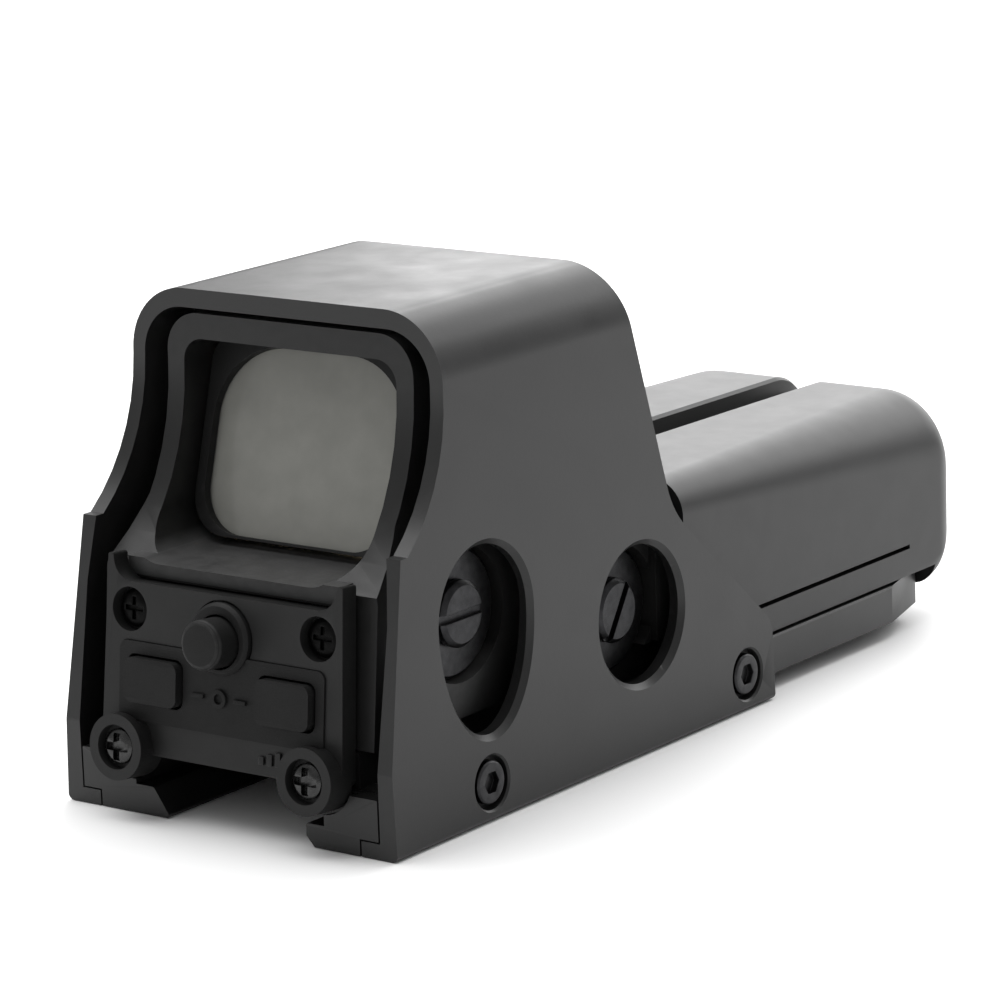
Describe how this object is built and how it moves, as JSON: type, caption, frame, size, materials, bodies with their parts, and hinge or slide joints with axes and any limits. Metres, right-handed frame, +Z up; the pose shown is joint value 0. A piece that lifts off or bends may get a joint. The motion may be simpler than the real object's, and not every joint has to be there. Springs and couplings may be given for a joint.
{
  "type": "hooded red dot sight",
  "caption": "Rail-mounted reflex sight under a stiff hood, with a leaning rear window, push buttons, side adjusters, a slide-off battery cap and a rail clamp.",
  "frame": {"origin": "a point on the middle line of the rail channel's flat roof, 40 mm forward of the hood's lower rear edge", "axes": "+X to the user's right, +Y forward along the line of sight towards the battery cap, +Z up out of the rail"},
  "size_m": [0.055, 0.1409, 0.0634],
  "materials": {
    "anodised_shell": "satin black anodised",
    "anodised_housing": "matt black anodised",
    "anodised_base": "satin black anodised",
    "moulded_panel": "fine texture",
    "moulded_cap": "satin",
    "rubber": "matt",
    "black_steel": "black oxide",
    "steel": "bright turned",
    "spring_steel": "bright",
    "brass": "machined",
    "glass": "coated",
    "lens_glass": "reflective coating",
    "board": "solder mask",
    "cell_wrap": "printed sleeve, plain",
    "red_led": "clear moulded"
  },
  "bodies": {
    "sight_body": {"hood": "anodised_shell", "hood_screw_right_rear": "black_steel", "hood_screw_right_front": "black_steel", "hood_screw_left_rear": "black_steel", "hood_screw_left_front": "black_steel", "base": "anodised_base", "base_screw_rear": "black_steel", "base_screw_front": "black_steel", "optical_housing": "anodised_housing", "window_bezel": "moulded_panel", "rear_window": "glass", "lens_carrier": "moulded_panel", "reflector_lens": "lens_glass", "elevation_bushing": "black_steel", "windage_bushing": "black_steel", "button_panel": "moulded_panel", "keypad": "rubber", "panel_screw_left": "black_steel", "panel_screw_right": "black_steel", "boss_screw_left": "steel", "boss_screw_right": "steel", "circuit_board": "board", "down_switch": "spring_steel", "up_switch": "spring_steel", "mode_switch": "spring_steel", "battery_block": "moulded_panel", "cap_gasket": "rubber", "rear_spring": "spring_steel", "rear_contact": "brass"},
    "battery_cap": {"battery_cap": "moulded_cap", "battery_left": "cell_wrap", "battery_right": "cell_wrap", "front_spring": "spring_steel", "contact_bridge": "brass"},
    "cap_latch": {"cap_latch": "moulded_cap"},
    "down_button": {"down_button": "rubber"},
    "up_button": {"up_button": "rubber"},
    "mode_button": {"mode_button": "rubber"},
    "elevation_screw": {"elevation_screw": "steel"},
    "elevation_wedge": {"elevation_wedge": "steel"},
    "windage_screw": {"windage_screw": "steel"},
    "windage_carriage": {"windage_carriage": "brass"},
    "emitter_block": {"emitter_block": "brass", "led": "red_led"},
    "clamp_knob": {"clamp_knob": "black_steel", "clamp_bolt": "steel"},
    "clamp_jaw": {"clamp_jaw": "black_steel"}
  },
  "joints": [
    {"name": "mode_button_press", "type": "slide", "parent": "sight_body", "child": "mode_button", "axis": [0, 0.995, -0.0995], "range_m": [0, 0.0008], "stiffness_N_per_m": 900, "springref_m": -0.001},
    {"name": "down_button_press", "type": "slide", "parent": "sight_body", "child": "down_button", "axis": [0, 0.995, -0.0995], "range_m": [0, 0.0008], "stiffness_N_per_m": 900, "springref_m": -0.001},
    {"name": "up_button_press", "type": "slide", "parent": "sight_body", "child": "up_button", "axis": [0, 0.995, -0.0995], "range_m": [0, 0.0008], "stiffness_N_per_m": 900, "springref_m": -0.001},
    {"name": "elevation_turn", "type": "hinge", "parent": "sight_body", "child": "elevation_screw", "pos_m": [0.0203, -0.0197, 0.0178], "axis": [1, 0, 0], "range_deg": [-720, 720]},
    {"name": "elevation_wedge_slide", "type": "slide", "parent": "sight_body", "child": "elevation_wedge", "axis": [1, 0, 0], "range_m": [-0.001, 0.001]},
    {"name": "windage_turn", "type": "hinge", "parent": "sight_body", "child": "windage_screw", "pos_m": [0.0203, 0.0128, 0.01075], "axis": [1, 0, 0], "range_deg": [-720, 720]},
    {"name": "windage_slide", "type": "slide", "parent": "sight_body", "child": "windage_carriage", "axis": [1, 0, 0], "range_m": [-0.001, 0.001]},
    {"name": "elevation_lift", "type": "slide", "parent": "windage_carriage", "child": "emitter_block", "axis": [0, 0, 1], "range_m": [-0.00051, 0.00051]},
    {"name": "battery_cap_slide", "type": "slide", "parent": "sight_body", "child": "battery_cap", "axis": [0, 1, 0], "range_m": [0, 0.06]},
    {"name": "latch_turn", "type": "hinge", "parent": "battery_cap", "child": "cap_latch", "pos_m": [0, 0.0905, 0.0045], "axis": [1, 0, 0], "range_deg": [-7, 0], "stiffness_Nm_per_rad": 0.02, "springref_deg": 5.73},
    {"name": "clamp_knob_turn", "type": "hinge", "parent": "sight_body", "child": "clamp_knob", "pos_m": [-0.0237, 0.06, -0.00275], "axis": [1, 0, 0], "range_deg": [0, 1080]},
    {"name": "clamp_jaw_slide", "type": "slide", "parent": "sight_body", "child": "clamp_jaw", "axis": [-1, 0, 0], "range_m": [0, 0.003]}
  ],
  "couplings": [
    {"joint": "elevation_turn", "follows": "elevation_wedge_slide", "rad_per_m": 12566},
    {"joint": "elevation_lift", "follows": "elevation_wedge_slide", "ratio": -0.5},
    {"joint": "windage_turn", "follows": "windage_slide", "rad_per_m": 12566},
    {"joint": "clamp_knob_turn", "follows": "clamp_jaw_slide", "rad_per_m": 6283}
  ]
}
